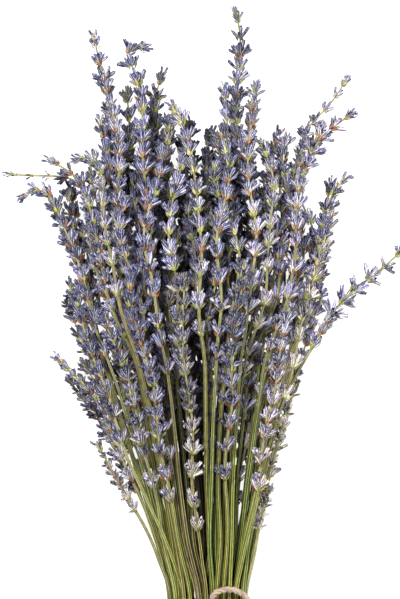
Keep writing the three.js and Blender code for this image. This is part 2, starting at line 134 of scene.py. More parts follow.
lamp("key_lamp", (-0.4, 0.85, 1.9), size=0.5, watts=88)
lamp("fill_lamp", (1.0, 0.0, 1.7), size=0.9, watts=32)

# %% [markdown]
# ## Where each sprig lies
# The solids were laid out by a rule: every stem has a place under the twine, wants to go to a
# place in the head, and is pushed aside by its neighbours. We repeat that rule with the same
# seeded draws, so that every sprig that we dress lies exactly on its solid.

# %% The sizes that the rule uses
SPRIG_COUNT = 84
SEED = 20
STEM_WIDTH = 2.0
STEM_TOP_WIDTH = 1.4
SPIKE_RADIUS = 5.4
GAP = 0.35
TIE_HALF_WIDTH, TIE_HALF_HEIGHT, TIE_GAP = 19.8, 13.0, 0.3
TWINE_RADIUS, TWINE_FLAT = 1.45, 0.3
TIE_HEIGHT = TIE_HALF_HEIGHT + TIE_GAP + 2 * TWINE_RADIUS - TWINE_FLAT
TIED_INSET = STEM_WIDTH * 0.75  # from the bundle's edge to an outer stem's middle
PAIR_PITCH = 1.3  # between the middles of two paired stems under the twine
ROUNDS, PULLED_ROUNDS = 420, 340  # the last rounds only push apart
LONGEST_STEP = 1.5
GRID = 97  # places are rounded to this fraction of a millimetre

# along the bunch: the place, its middle, half its width and half its height
STATIONS = np.array([
    (-118, 0, 27, 17), (-9, 0, 19.8, 13), (9, 0, 19.8, 13), (34, -1.5, 25.5, 18), (62, -4, 30, 26),
    (90, -6, 36, 34), (118, -7, 46, 40), (146, -6, 55, 43), (174, -6, 60, 44), (202, -6, 58, 44),
    (230, -6, 55, 42), (258, -7, 50, 38), (286, -8, 46, 36),
], dtype=float)
Y, MIDDLE, WIDE, HIGH = STATIONS.T

# The sprigs that make the outline and the face: their path seen from above, how high they lie
# from -1 to 1, the length that carries flowers, their size, and how a free end goes on.
SHOWN = [
    # standing out at the top, from left to right
    ([(-38, 198), (-43, 226), (-47, 250)], 0.3, 104, 1, (-4, 14, 1), (-7, 22, 1)),
    ([(-34, 198), (-38, 228), (-40, 248)], -0.5, 88, 1),
    ([(-28, 198), (-30, 228), (-33, 248)], 0.55, 96, 1, (-4, 12, 1), (-4, 18, 1), (7, 16, 1)),
    ([(-21, 198), (-25, 230), (-27, 242)], -0.05, 84, 1, (4.5, 12, 0)),
    ([(-2, 184), (-5, 208), (-8.5, 219), (-12, 229)], 0.85, 88, 1, (-6, 8, 1)),
    ([(2, 198), (0, 226)], 0.3, 84, 1),
    ([(7, 198), (8, 230), (8, 250)], -0.55, 92, 1),
    ([(13, 198), (14, 230), (14, 262)], 0.1, 108, 1, (0, 12, 0), (-2, 22, 0)),
    ([(19, 198), (21, 225), (20, 242)], 0.6, 90, 1),
    ([(31, 190), (35, 210), (38, 225)], -0.1, 80, 1),
    ([(36, 186), (40, 208), (45, 226)], -0.6, 50, 0.7, (11, 11, 2), (16, 17, 3), (20, 27, 3)),
    ([(34, 184), (39, 198), (43, 208), (46, 216)], 0.45, 84, 1, (6, 8, 1), (22, 18, 2)),
    # down the right-hand side
    ([(46, 146), (51, 166), (53, 178), (55, 190)], 0.1, 76, 1, (4, 10, 1), (8, 14, 1)),
    ([(38, 124), (46, 150), (51, 174)], 0.5, 76, 1),
    ([(29, 90), (40, 120), (55, 141)], 0.3, 16, 0.85,
     (12, 11, 2), (19, 17, 2), (27, 24, 3), (33, 31, 3)),
    ([(27, 63), (32, 77), (36, 87), (41, 111)], 0.0, 30, 0.6),
    ([(20, 28), (24, 42), (26, 52)], 0.1, 14, 0.6, (2, 8, 0)),
    # down the left-hand side
    ([(-45, 198), (-49, 216), (-51, 233)], 0.0, 84, 1),
    ([(-43, 190), (-47, 206), (-50, 213)], 0.55, 64, 0.85, (-6, 1, 1), (-12, -1, 1)),
    ([(-44, 178), (-50, 192), (-55, 202)], 0.2, 60, 0.85, (-8, 6, 1), (-19, 11, 2)),
    ([(-42, 172), (-50, 192), (-57, 203)], -0.35, 56, 0.75, (-7, 3, 1), (-25, 3, 1), (-37, 4, 1)),
    ([(-55, 150), (-60, 166), (-64, 176), (-69, 190)], 0.1, 72, 1,
     (-3, 8, 0), (-9, 11, 0), (-17, 6, -1)),
    ([(-45, 106), (-53, 126), (-60, 138), (-62, 152)], 0.45, 76, 1),
    ([(-34, 66), (-41, 82), (-52, 101)], 0.25, 44, 0.9, (-7, 8, 1), (-13, 15, 1), (-17, 20, 1)),
    ([(-31, 56), (-41, 76), (-52, 93)], -0.3, 42, 0.9, (-8, 9, 1), (-14, 18, 1)),
    ([(-26, 34), (-31, 46), (-40, 61)], 0.2, 14, 0.65, (-4, 8, 1), (-9, 14, 1), (-12, 20, 1)),
    # on the face
    ([(-7, 44), (-9, 100), (-11, 160)], 1.0, 116, 1),
    ([(6, 56), (10, 110), (14, 166)], 1.0, 108, 1),
    ([(-18, 62), (-27, 110), (-35, 158)], 0.85, 100, 1),
    ([(22, 50), (31, 96), (40, 146)], 0.6, 94, 1),
    ([(-24, 50), (-38, 96), (-49, 142)], 0.45, 88, 1),
]


# %% The draws, and the sprigs that they plan
def drawer(seed):
    state = [seed]

    def draw():
        state[0] = (state[0] + 0x6D2B79F5) & 0xFFFFFFFF
        t = state[0]
        t = ((t ^ (t >> 15)) * (t | 1)) & 0xFFFFFFFF
        t ^= (t + (((t ^ (t >> 7)) * (t | 61)) & 0xFFFFFFFF)) & 0xFFFFFFFF
        return (t ^ (t >> 14)) / 4294967296

    return draw


def mix(a, b, t):
    return a + (b - a) * t


def clamp(value, low, high):
    return min(max(value, low), high)


def across(points, y):
    k = 0
    while k < len(points) - 2 and y > points[k + 1][1]:
        k += 1
    a, b = points[k], points[k + 1]
    return mix(a[0], b[0], (y - a[1]) / (b[1] - a[1]))


def plan_sprigs():
    draw = drawer(SEED)
    golden = math.pi * (3 - math.sqrt(5))
    spread = [math.sqrt((i + 0.5) / SPRIG_COUNT) for i in range(SPRIG_COUNT)]
    places = [(r * math.cos(i * golden), r * math.sin(i * golden)) for i, r in enumerate(spread)]
    taken = {}
    shown = []
    for path, lie, spike, size, *end in SHOWN:
        x, y = path[-1]
        u1 = (x - across(list(zip(MIDDLE, Y)), y)) / across(list(zip(WIDE, Y)), y)
        shown.append(dict(
            shown=True, path=path, u1=u1, v1=lie, tip=y, spike=spike, size=size, end=end))
    for wanted in sorted(shown, key=lambda s: s["tip"]):
        at = (clamp(wanted["u1"], -1, 1), wanted["v1"])
        free = [i for i in range(SPRIG_COUNT) if i not in taken]
        nearest = min(free, key=lambda i: (places[i][0] - at[0]) ** 2 + (places[i][1] - at[1]) ** 2)
        taken[nearest] = wanted
    plan = []
    for i, (u, v) in enumerate(places):
        made = taken.get(i)
        if made is None:
            tip = mix(172, 236, math.sqrt(draw())) - 10 * (u * u + v * v)
            spike = min(mix(72, 92, draw()), tip - 84)
            u1, v1 = u + mix(-0.08, 0.08, draw()), v + mix(-0.08, 0.08, draw())
            size = mix(0.92, 1.02, draw())
            made = dict(shown=False, u1=u1, v1=v1, tip=tip, spike=spike, size=size, end=[])
        plan.append(dict(made, u=u, v=v, turn=draw() * math.pi, cut=Y[0] + 7 * draw()))
    return plan


def pair_up(plan):
    partner = {}
    inside = [i for i, s in enumerate(plan) if not s["shown"]]

    def free(i):
        near = lambda j: math.hypot(plan[i]["u"] - plan[j]["u"], plan[i]["v"] - plan[j]["v"]) < 0.36
        return [j for j in inside if j != i and j not in partner and near(j)]

    while True:
        choosing = [i for i in inside if i not in partner and free(i)]
        if not choosing:
            return partner
        first = min(choosing, key=lambda i: len(free(i)))
        second = min(free(first), key=lambda i: len(free(i)))
        partner[first], partner[second] = second, first


sprigs = plan_sprigs()
partner = pair_up(sprigs)
print(len(sprigs), "sprigs,", len(partner) // 2, "pairs")


# %% The line that each sprig follows
def spike_shape(t):
    return clamp(0.8 + 1.2 * t, 0, 1) * clamp((1 - t) * 2.2 + 0.42, 0, 1)


def reach(sprig, y):
    if y > sprig["tip"] + 4:
        return 2.0 if sprig["end"] and y < sprig["tip"] + 12 else 0.0
    foot = sprig["tip"] - sprig["spike"]
    if y < foot - 1:
        return STEM_WIDTH * math.sqrt(0.5)
    return SPIKE_RADIUS * sprig["size"] * spike_shape((y - foot) / sprig["spike"])


def height_at(k):
    return HIGH[k] + (TIE_HEIGHT - TIE_HALF_HEIGHT) * clamp(1 - (Y[k] - 9) / 110, 0, 1)


def planned_line(sprig):
    tied_x = sprig["u"] * (TIE_HALF_WIDTH - TIED_INSET)
    points = []
    for k, y in enumerate(Y):
        tied = k < 3
        along = clamp((y - 9) / (sprig["tip"] - 9), 0, 1.2)
        u = sprig["u"] if tied else mix(sprig["u"], sprig["u1"], along)
        v = sprig["v"] if tied else mix(sprig["v"], sprig["v1"], clamp(along * 1.6, 0, 1))
        inset = TIED_INSET if tied else mix(TIED_INSET, SPIKE_RADIUS, clamp(along * 2, 0, 1))
        x = MIDDLE[k] + u * (WIDE[k] - inset)
        if sprig["shown"] and not tied:
            x = across([(tied_x, 9)] + sprig["path"], y)
        points.append((x, height_at(k) + v * (HIGH[k] - inset)))
    return points


def held_by_twine(points):
    room_wide, room_high = TIE_HALF_WIDTH - STEM_WIDTH * 0.72, TIE_HALF_HEIGHT - STEM_WIDTH * 0.72
    from_middle = points - [0, TIE_HEIGHT]
    out = np.sqrt((from_middle[:, 0] / room_wide) ** 2 + (from_middle[:, 1] / room_high) ** 2)
    share = np.where(out > 1, 1 / out, np.where(out > 0.88, np.minimum(1 / out, 1.01), 1))
    return from_middle * share[:, None] + [0, TIE_HEIGHT]


def push_apart(line, k, t, reaches, paired, move):
    after = k + 1 if t else k
    under_twine = 0 < k < 3 and t == 0
    here = np.flatnonzero(reaches > 0)
    place = mix(line[:, k], line[:, after], t)[here]
    mine = reaches[here]
    between = place[:, None] - place[None]
    far = np.sqrt(between[..., 0] ** 2 + between[..., 1] ** 2) + 1e-9
    short = np.maximum(mine[:, None] + mine[None] + GAP - far, 0)
    if under_twine:
        short = np.where(paired[np.ix_(here, here)], PAIR_PITCH - far, short)
    np.fill_diagonal(short, 0)
    push = ((0.42 * short / far)[..., None] * between).sum(1)
    if under_twine:
        push += held_by_twine(place) - place
    lowest = np.where(mine > STEM_WIDTH, mine * 0.9, mine + 0.1)
    push[:, 1] += np.maximum(lowest - place[:, 1] - push[:, 1], 0)
    move[here, k] += push * (1 - t)
    if t:
        move[here, after] += push * t


def press_under_twine(line, partner):
    for k in (1, 2):
        for i, j in partner.items():
            if j > i:
                a, b = line[i, k], line[j, k]
                far = math.hypot(*(a - b))
                step = (b - a) * ((far - PAIR_PITCH) / far / 2)
                line[i, k], line[j, k] = a + step, b - step
        line[:, k] = held_by_twine(line[:, k])


def lay_out(plan, partner):
    wanted = np.array([planned_line(s) for s in plan])
    line = wanted.copy()
    paired = np.zeros((len(plan), len(plan)), bool)
    for i, j in partner.items():
        paired[i, j] = True
    back = np.array([0.35 if s["shown"] else 0.02 for s in plan])[:, None]
    checks = []
    for k, y in enumerate(Y):
        last = k == len(Y) - 1
        for t in (0,) if last else (0, 1 / 3, 2 / 3):
            height = y if last else mix(y, Y[k + 1], t)
            checks.append((k, t, np.array([reach(s, height) for s in plan])))
    for turn in range(ROUNDS):
        move = np.zeros_like(line)
        if turn < PULLED_ROUNDS:
            at_twine = line[:, 1]
            cut_x = at_twine[:, 0] * WIDE[0] / WIDE[1]
            cut_z = height_at(0) + (at_twine[:, 1] - TIE_HEIGHT) * HIGH[0] / HIGH[1]
            move[:, 0] += 0.4 * (np.stack([cut_x, cut_z], 1) - line[:, 0])
            move[:, 1] += 0.4 * (line[:, 2] - line[:, 1])
            for k in range(2, len(Y)):
                move[:, k] += back * (wanted[:, k] - line[:, k])
                if 3 <= k < len(Y) - 1:
                    share = (Y[k] - Y[k - 1]) / (Y[k + 1] - Y[k - 1])
                    move[:, k] += 0.18 * (mix(line[:, k - 1], line[:, k + 1], share) - line[:, k])
        for k, t, reaches in checks:
            push_apart(line, k, t, reaches, paired, move)
        line += np.clip(move, -LONGEST_STEP, LONGEST_STEP)
        if turn >= PULLED_ROUNDS:
            press_under_twine(line, partner)
        line = np.floor(line * GRID + 0.5) / GRID
    return line


line = lay_out(sprigs, partner)


# %% From the rule's lines to smooth paths
# The solids run straight from point to point. A real stem bends softly, so we round the corners
# a little, without leaving the solid.
def sprig_path(sprig, points):
    at = lambda y: (across(list(zip(points[:, 0], Y)), y), y, across(list(zip(points[:, 1], Y)), y))
    heights = [y for y in Y if sprig["cut"] < y < sprig["tip"] - 6]
    path = [at(y) for y in [sprig["cut"], *heights, sprig["tip"]]]
    tip = path[-1]
    path += [(tip[0] + x, tip[1] + y, tip[2] + z) for x, y, z in sprig["end"]]
    return np.array(path)


def lengths_along(path):
    return np.concatenate([[0], np.cumsum(np.linalg.norm(np.diff(path, axis=0), axis=1))])


def point_along(path, along, distance):
    k = int(clamp(np.searchsorted(along, distance) - 1, 0, len(path) - 2))
    way = path[k + 1] - path[k]
    place = path[k] + way * ((distance - along[k]) / (along[k + 1] - along[k]))
    return place, way / np.linalg.norm(way)


def rounded(path, along, step=3.0, reach_each_way=7.0):
    """Points every few millimetres, each the mean of the path a little before and after it."""
    stops = np.linspace(0, along[-1], max(int(along[-1] / step), 8))
    out = []
    for stop in stops:
        near = min(reach_each_way, stop, along[-1] - stop)
        around = [point_along(path, along, stop + near * s)[0] for s in (-1, -0.5, 0, 0.5, 1)]
        out.append(np.mean(around, axis=0))
    return np.array(out)


UP = np.array([0.0, 0.0, 1.0])


def axes_of(way):
    side = np.cross(UP, way)
    side /= np.linalg.norm(side)
    return side, np.cross(way, side)


# %% [markdown]
# ## The flower cup
# A dried calyx is a ribbed tube 6 to 7 mm long: narrow and yellow-green at its foot, widest above
# the middle, with a toothed mouth and usually nothing left in it. We draw a circle, extrude it
# ring by ring up the tube and down again inside the mouth, then pull every second column of
# corners out into ribs. Ten sides are enough, because there will be thousands of them.

# %% A helper that extrudes a profile
def draw_up(name, sides, profile):
    """A closed turned shape. The profile is a list of (height, radius) in millimetres."""
    deselect()
    height, radius = profile[0]
    bpy.ops.mesh.primitive_circle_add(
        vertices=sides, radius=radius * MM, fill_type="NGON", location=(0, 0, height * MM))
    shape = bpy.context.active_object
    shape.name = name
    bpy.ops.object.transform_apply(location=True, rotation=False, scale=False)
    bpy.ops.object.mode_set(mode="EDIT")
    for (h0, r0), (h1, r1) in zip(profile, profile[1:]):
        bpy.ops.mesh.extrude_region_move(TRANSFORM_OT_translate={"value": (0, 0, (h1 - h0) * MM)})
        bpy.ops.transform.resize(value=(r1 / r0, r1 / r0, 1))
    bpy.ops.mesh.select_all(action="SELECT")
    bpy.ops.mesh.normals_make_consistent(inside=False)
    bpy.ops.mesh.select_all(action="DESELECT")
    bpy.ops.object.mode_set(mode="OBJECT")
    return shape


def pick(shape, wanted):
    """Selects the corners that wanted(x, y, z), in millimetres, says yes to."""
    bpy.ops.object.mode_set(mode="OBJECT")
    for corner in shape.data.vertices:
        corner.select = bool(wanted(*(corner.co / MM)))
    bpy.ops.object.mode_set(mode="EDIT")
    bpy.ops.mesh.select_mode(type="VERT")


def column(x, y, sides):
    return round(math.atan2(y, x) / (2 * math.pi) * sides) % sides


def as_template(shape, along, rib):
    """Keeps a shape's corners, faces and marks, and removes the object."""
    bpy.ops.object.mode_set(mode="OBJECT")
    corners = np.array([v.co[:] for v in shape.data.vertices]) / MM
    faces = sorted(tuple(p.vertices) for p in shape.data.polygons)
    marks = np.array([(along(*c), rib(*c)) for c in corners])
    bpy.data.objects.remove(shape)
    return {"corners": corners, "faces": faces, "marks": marks}


# %% The open cup and the closed bud
CUP_LENGTH = 7.2
CUP_SIDES, BUD_SIDES = 10, 8
RIB = (1.24, 1.24, 1)  # how far a rib stands out
HOLLOW = 1.5  # the mark of what is deep inside a mouth


def make_cup():
    profile = [(0, 0.3), (1.2, 0.56), (4.0, 0.82), (6.6, 0.78), (5.4, 0.44)]
    shape = draw_up("cup", CUP_SIDES, profile)
    outside = lambda x, y, z: z < 5 or math.hypot(x, y) > 0.6
    ribbed = lambda x, y, z: column(x, y, CUP_SIDES) % 2 == 0 and outside(x, y, z)
    pick(shape, lambda x, y, z: ribbed(x, y, z) and z > 0.5)
    bpy.ops.transform.resize(value=RIB)
    pick(shape, lambda x, y, z: column(x, y, CUP_SIDES) % 4 == 0 and z > 6.3)
    bpy.ops.transform.translate(value=(0, 0, 0.6 * MM))
    return as_template(
        shape,
        along=lambda x, y, z: z / CUP_LENGTH if outside(x, y, z) else HOLLOW,
        rib=lambda x, y, z: float(ribbed(x, y, z)),
    )


def make_bud():
    shape = draw_up("bud", BUD_SIDES, [(0, 0.3), (1.3, 0.58), (4.2, 0.8), (6.5, 0.3)])
    ribbed = lambda x, y, z: column(x, y, BUD_SIDES) % 2 == 0
    pick(shape, lambda x, y, z: ribbed(x, y, z) and 0.5 < z < 6.2)
    bpy.ops.transform.resize(value=RIB)
    return as_template(
        shape, along=lambda x, y, z: z / CUP_LENGTH, rib=lambda x, y, z: float(ribbed(x, y, z)))


cup = make_cup()
bud = make_bud()
print("a cup has", len(cup["faces"]), "faces and a bud", len(bud["faces"]))


# %% [markdown]
# ## The scales and the withered petals
# Under each ring sit papery scales, cream, green or rust, that end in a point. One is a small
# cone pressed flat and bent outwards. Some cups still hold the withered flower, a crumpled scrap of
# darker violet: a ball with its corners pushed about.

# %% The scale and the petal
SCALE_LENGTH = 3.9
FLATNESS = 0.22


def make_scale():
    shape = draw_up("scale", 6, [(0, 0.5), (1.1, 1.25), (2.4, 1.0), (SCALE_LENGTH, 0.12)])
    pick(shape, lambda x, y, z: True)
    bpy.ops.transform.resize(value=(1, FLATNESS, 1))
    pick(shape, lambda x, y, z: z > 2)
    bpy.ops.transform.translate(value=(0, 0.35 * MM, 0))
    pick(shape, lambda x, y, z: z > 3.5)
    bpy.ops.transform.translate(value=(0, 0.7 * MM, 0))
    return as_template(
        shape, along=lambda x, y, z: z / SCALE_LENGTH, rib=lambda x, y, z: float(abs(x) < 0.3))


def make_petal():
    deselect()
    bpy.ops.mesh.primitive_ico_sphere_add(subdivisions=1, radius=0.95 * MM)
    shape = bpy.context.active_object
    draw = drawer(5)
    for corner in shape.data.vertices:
        corner.co *= mix(0.6, 1.25, draw())
        corner.co.z *= 1.3
    return as_template(shape, along=lambda x, y, z: clamp(z + 0.5, 0, 1), rib=lambda x, y, z: 0.5)


scale = make_scale()
petal = make_petal()


# %% [markdown]
# ## Finishes
# Nothing on a dried flower has one colour. Each copy carries its marks: how far along it a corner
# is, whether it is on a rib, a tone drawn for that copy, how far light has bleached its place in
# the bunch, which also sets how much painted shade it gets inside the bunch, and how far its violet
# has faded to cream. The finishes read those marks and blend colours by them. A mottle that several
# finishes share is a node group.

# %% A helper that adds a node
def to_linear(value):
    """A colour value as a paint chart gives it, 0 to 255, as light."""
    value /= 255
    return value / 12.92 if value <= 0.04045 else ((value + 0.055) / 1.055) ** 2.4


def add_node(tree, kind, inputs, **settings):
    """inputs holds a number, a chart colour or another node's output for a socket."""
    node = tree.nodes.new("ShaderNode" + kind)
    for name, value in settings.items():
        setattr(node, name, value)
    for socket, value in inputs.items():
        if isinstance(value, (int, float)):
            node.inputs[socket].default_value = value
        elif isinstance(value, tuple):
            node.inputs[socket].default_value = (*(to_linear(c) for c in value), 1)
        else:
            tree.links.new(value, node.inputs[socket])
    return node


# %% The mottle
def make_mottle():
    group = bpy.data.node_groups.new("dry_mottle", "ShaderNodeTree")
    for label, way, kind in (
            ("Colour", "INPUT", "Color"), ("Size", "INPUT", "Float"), ("Depth", "INPUT", "Float"),
            ("Colour", "OUTPUT", "Color"), ("Height", "OUTPUT", "Float")):
        group.interface.new_socket(label, in_out=way, socket_type="NodeSocket" + kind)
    given, made = (group.nodes.new("NodeGroup" + way) for way in ("Input", "Output"))
    given = given.outputs
    place = add_node(group, "TexCoord", {}).outputs["Object"]
    noise = add_node(group, "TexNoise", {"Detail": 3, "Vector": place, "Scale": given["Size"]})
    height = noise.outputs["Fac"]
    centred = add_node(group, "Math", {0: height, 1: 0.5}, operation="SUBTRACT").outputs[0]
    shares = {0: centred, 1: given["Depth"], 2: 1}
    scaled = add_node(group, "Math", shares, operation="MULTIPLY_ADD").outputs[0]
    colours = {0: given["Colour"], "Scale": scaled}
    tinted = add_node(group, "VectorMath", colours, operation="SCALE")
    group.links.new(tinted.outputs[0], made.inputs["Colour"])
    group.links.new(height, made.inputs["Height"])
    return group


dry_mottle = make_mottle()
RELIEF = 0.0002  # the mottle's height, in metres


# %% A helper that starts a finish
class Finish:
    """A material with the marks read, ready for its colours to be blended."""

    def __init__(self, name, roughness, sheen=0.0):
        self.material = bpy.data.materials.new(name)
        self.material.use_nodes = True
        self.tree = self.material.node_tree
        self.shader = self.tree.nodes["Principled BSDF"].inputs
        self.shader["Roughness"].default_value = roughness
        self.shader["Specular IOR Level"].default_value = 0.25
        self.shader["Sheen Weight"].default_value = sheen
        marks = add_node(self.tree, "Attribute", {}, attribute_name="marks").outputs
        split = add_node(self.tree, "SeparateColor", {0: marks["Color"]})
        self.along, self.rib, self.tone = split.outputs
        self.bleach_and_light = marks["Alpha"]
        self.faded = add_node(self.tree, "Attribute", {}, attribute_name="faded").outputs["Fac"]

    def ramp(self, value, stops):
        node = add_node(self.tree, "ValToRGB", {0: value})
        for _ in range(len(stops) - 2):
            node.color_ramp.elements.new(0.5)
        for element, (at, colour) in zip(node.color_ramp.elements, stops):
            element.position = at
            element.color = (*(to_linear(c) for c in colour), 1)
        return node.outputs[0]

    def blend(self, share, a, b, kind="MIX"):
        inputs = {0: share, 6: a, 7: b}
        return add_node(self.tree, "Mix", inputs, data_type="RGBA", blend_type=kind).outputs[2]

    def ranged(self, value, low, high, to_low=0.0, to_high=1.0):
        inputs = dict(enumerate((value, low, high, to_low, to_high)))
        return add_node(self.tree, "MapRange", inputs).outputs[0]

    def times(self, a, b):
        return add_node(self.tree, "Math", {0: a, 1: b}, operation="MULTIPLY").outputs[0]

    def mottle(self, **inputs):
        return add_node(self.tree, "Group", inputs, node_tree=dry_mottle).outputs

    def finish(self, colour, size, depth, bump, inner_dark_and_shade=(80, 80, 110)):
        """Darkens what lies inside the bunch by the inner colour, which is both the dark colour
        kept there and painted shade, and adds mottle and bump.
        """
        # the kept dark colour and the painted shade of what lies inside the bunch
        kept_dark_and_shaded = self.blend(1.0, colour, inner_dark_and_shade, "MULTIPLY")
        colour = self.blend(self.bleach_and_light, kept_dark_and_shaded, colour)
        mottle = self.mottle(Size=size, Depth=depth, Colour=colour)
        relief = add_node(
            self.tree, "Bump", {"Strength": bump, "Distance": RELIEF, "Height": mottle["Height"]})
        self.tree.links.new(mottle["Colour"], self.shader["Base Color"])
        self.tree.links.new(relief.outputs[0], self.shader["Normal"])
        return self.material


# %% The cups' finish: green foot, blue-grey body, pale ribs with painted highlights, painted shade between them, and a dark mouth with painted shade inside
def cup_finish():
    f = Finish("lavender_cup", 0.7)
    violet_body = f.ramp(f.tone, [
        (0.0, (16, 19, 44)), (0.25, (38, 41, 84)), (0.5, (66, 67, 116)),
        (0.75, (105, 102, 146)), (1.0, (150, 145, 178))])
    cream_body = f.ramp(f.tone, [
        (0.0, (28, 27, 38)), (0.25, (60, 57, 68)), (0.5, (98, 92, 98)),
        (0.75, (140, 131, 128)), (1.0, (186, 175, 160))])
    body = f.blend(f.faded, violet_body, cream_body)
    foot = f.ramp(f.tone, [
        (0.0, (48, 48, 40)), (0.35, (88, 88, 62)), (0.7, (146, 147, 98)), (1.0, (192, 189, 144))])
    rosy_foot = f.ramp(f.tone, [
        (0.0, (44, 36, 42)), (0.35, (84, 66, 70)), (0.7, (148, 120, 118)), (1.0, (202, 180, 172))])
    foot = f.blend(f.ranged(f.faded, 0.35, 0.1, 0.0, 0.85), foot, rosy_foot)
    violet = f.ranged(f.mottle(Size=90)["Height"], 0.45, 0.6)
    body = f.blend(violet, body, f.blend(1.0, body, (240, 222, 255), "MULTIPLY"))
    colour = f.blend(f.ranged(f.along, 0.18, 0.5), foot, body)
    # painted shade in the grooves between the ribs
    colour = f.blend(f.ranged(f.rib, 0.45, 0.0, 0.0, 0.92), colour, (18, 17, 34))
    # pale ribs: partly their own paler colour, partly a painted highlight
    pale_and_highlight = f.times(f.ranged(f.rib, 0.35, 0.8), f.ranged(f.tone, 0.0, 0.8, 0.38, 0.8))
    pale_and_highlight = f.times(pale_and_highlight, f.ranged(f.mottle(Size=1300)["Height"], 0.36, 0.6, 0.15, 1.0))
    pale_rib_and_highlight = f.blend(f.faded, (216, 219, 240), (231, 225, 208))
    colour = f.blend(pale_and_highlight, colour, pale_rib_and_highlight)
    dark_lip = f.times(f.ranged(f.along, 0.55, 1.0), f.ranged(f.tone, 0.9, 0.35, 0.0, 0.75))
    colour = f.blend(dark_lip, colour, (34, 36, 58))
    # painted shade deep inside the mouth
    colour = f.blend(f.ranged(f.along, 1.0, 1.25), colour, (20, 17, 30))
    return f.finish(colour, 1500, 1.6, 0.4)


def scale_finish():
    f = Finish("papery_scale", 0.7)
    colour = f.ramp(f.tone, [
        (0.0, (84, 96, 30)), (0.3, (126, 134, 52)), (0.5, (156, 152, 96)), (0.62, (156, 140, 108)),
        (0.66, (128, 62, 48)), (0.85, (102, 44, 38)), (1.0, (74, 38, 42))])
    colour = f.blend(f.ranged(f.rib, 0.2, 0.9, 0.0, 0.3), colour, (204, 196, 140))
    tip = f.ranged(f.along, 0.75, 1.0, 0.0, 0.5)
    colour = f.blend(tip, colour, (190, 160, 116))
    return f.finish(colour, 1100, 1.4, 0.3)


def petal_finish():
    f = Finish("withered_petal", 0.75, sheen=0.2)
    colour = f.ramp(f.tone, [(0.0, (34, 30, 60)), (0.6, (66, 56, 104)), (1.0, (112, 98, 112))])
    return f.finish(colour, 1200, 0.8, 0.6)


def stem_finish():
    f = Finish("dry_stem", 0.55)
    colour = f.ramp(f.tone, [
        (0.0, (52, 60, 16)), (0.25, (78, 98, 20)), (0.5, (92, 110, 44)),
        (0.7, (118, 120, 34)), (0.85, (106, 92, 40)), (1.0, (74, 52, 36))])
    # painted shade in the grooves of the stem's sides
    colour = f.blend(f.ranged(f.rib, 0.7, 0.0, 0.0, 0.92), colour, (22, 20, 8))
    # painted highlight along the stem's ridges
    pale_and_highlight = f.times(f.ranged(f.rib, 0.7, 1.0), f.ranged(f.along, 0.2, 0.6, 0.45, 0.85))
    colour = f.blend(pale_and_highlight, colour, (206, 208, 140))
    high = f.ranged(f.along, 0.5, 0.75, 0.0, 0.65)
    colour = f.blend(high, colour, (132, 124, 92))
    # the stems' inner colour: their kept dark colour and painted shade inside the bunch
    return f.finish(colour, 420, 1.2, 0.3, inner_dark_and_shade=(62, 56, 46))


FINISHES = [cup_finish(), scale_finish(), petal_finish(), stem_finish()]
CUP, SCALE, PETAL, STEM = range(4)


# %% [markdown]
# ## Building a sprig
# A sprig is gathered as one list of corners, faces and marks: its stem first, then ring after ring
# of cups, each ring with its scales. The cups lean out so that their mouths reach the width that
# the solid spike has there.

# %% Marks for the finishes
def bleach_and_light_at(place):
    """0 inside the bunch, where the flowers kept their dark colour and get painted shade, to 1 on
    its outside, bleached and lit.
    """
    y = place[1]
    aside = (place[0] - np.interp(y, Y, MIDDLE)) / np.interp(y, Y, WIDE)
    middle_height = np.interp(y, Y, [height_at(k) for k in range(len(Y))])
    raised = (place[2] - middle_height) / np.interp(y, Y, HIGH)
    towards_tips = clamp((y - 185) / 110, 0, 0.45)
    return clamp((math.hypot(aside, raised) - 0.3) / 0.5 + towards_tips, 0.1, 1)


def mark(along_and_rib, tone, bleach_and_light):
    count = len(along_and_rib)
    return np.column_stack([along_and_rib, np.full(count, tone), np.full(count, bleach_and_light)])


# %% A sprig as it grows
class Growth:
    def __init__(self):
        self.corners, self.faces, self.marks, self.faded, self.finish = [], [], [], [], []
        self.count = 0
        self.fading = 0.4  # how far what is added next has faded from violet to cream

    def add(self, corners, faces, marks, finish):
        self.corners.append(corners)
        self.marks.append(marks)
        self.faded.append(np.full(len(corners), self.fading))
        self.faces += [tuple(i + self.count for i in face) for face in faces]
        self.finish += [finish] * len(faces)
        self.count += len(corners)

    def place(self, template, base, axes, size, tone, finish):
        """A copy whose own X, Y and Z run along the three axes."""
        corners = base + (template["corners"] * size) @ np.array(axes)
        marks = mark(template["marks"], tone, bleach_and_light_at(base))
        self.add(corners, template["faces"], marks, finish)

    def as_piece(self, name, finishes):
        corners = np.concatenate(self.corners)
        corners[:, 2] = np.maximum(corners[:, 2], 0.02)
        shape = bpy.data.meshes.new(name)
        shape.from_pydata((corners * MM).tolist(), [], self.faces)
        for finish in finishes:
            shape.materials.append(finish)
        shape.polygons.foreach_set("material_index", self.finish)
        for label, kind, field, values in (
                ("marks", "FLOAT_COLOR", "color", self.marks),
                ("faded", "FLOAT", "value", self.faded)):
            written = shape.attributes.new(label, kind, "POINT")
            written.data.foreach_set(field, np.concatenate(values).ravel())
        shape.update()
        piece = bpy.data.objects.new(name, shape)
        scene.collection.objects.link(piece)
        return piece


# %% The stem
SWAY_LENGTH = 70  # over what length a spike weaves to one side and back
LOW_WIDTH, NECK_WIDTH, TIP_WIDTH = STEM_WIDTH * 0.8, STEM_TOP_WIDTH * 0.74, 0.6
STEM_SIDES = 8
EDGE, GROOVE = math.sqrt(0.5), 0.54  # their distance from the middle, as a share of the width


def tube_faces(rows, sides, closed=False):
    """The faces between rows of corners, and the two end faces unless the tube closes on itself."""
    faces = []
    for k in range(rows if closed else rows - 1):
        a, b = k * sides, (k + 1) % rows * sides
        for i in range(sides):
            n = (i + 1) % sides
            faces.append((a + i, a + n, b + n, b + i))
    if not closed:
        faces += [tuple(reversed(range(sides))), tuple(range((rows - 1) * sides, rows * sides))]
    return faces


